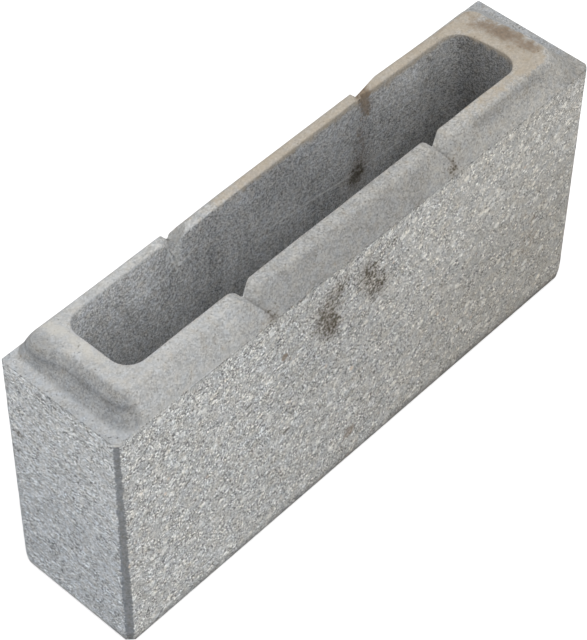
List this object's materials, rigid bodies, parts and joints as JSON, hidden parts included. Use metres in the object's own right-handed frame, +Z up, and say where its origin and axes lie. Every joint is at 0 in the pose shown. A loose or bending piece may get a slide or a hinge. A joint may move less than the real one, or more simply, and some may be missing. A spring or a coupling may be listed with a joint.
{
  "type": "concrete wall block",
  "caption": "Narrow hollow concrete wall block with a raised interlocking rim round one long through cavity, blasted faces and notches across the rim.",
  "frame": {"origin": "centre of the bed, the flat underside that the block stands on", "axes": "+X along the block's length, +Y across its width, +Z up from the bed to the crest of the rim"},
  "size_m": [0.39, 0.086, 0.2],
  "materials": {
    "pressed_concrete": "blasted grey concrete with fine pale and dark aggregate on the faces, smooth on the rim"
  },
  "bodies": {
    "root": {"wall_block": "pressed_concrete"}
  },
  "joints": []
}
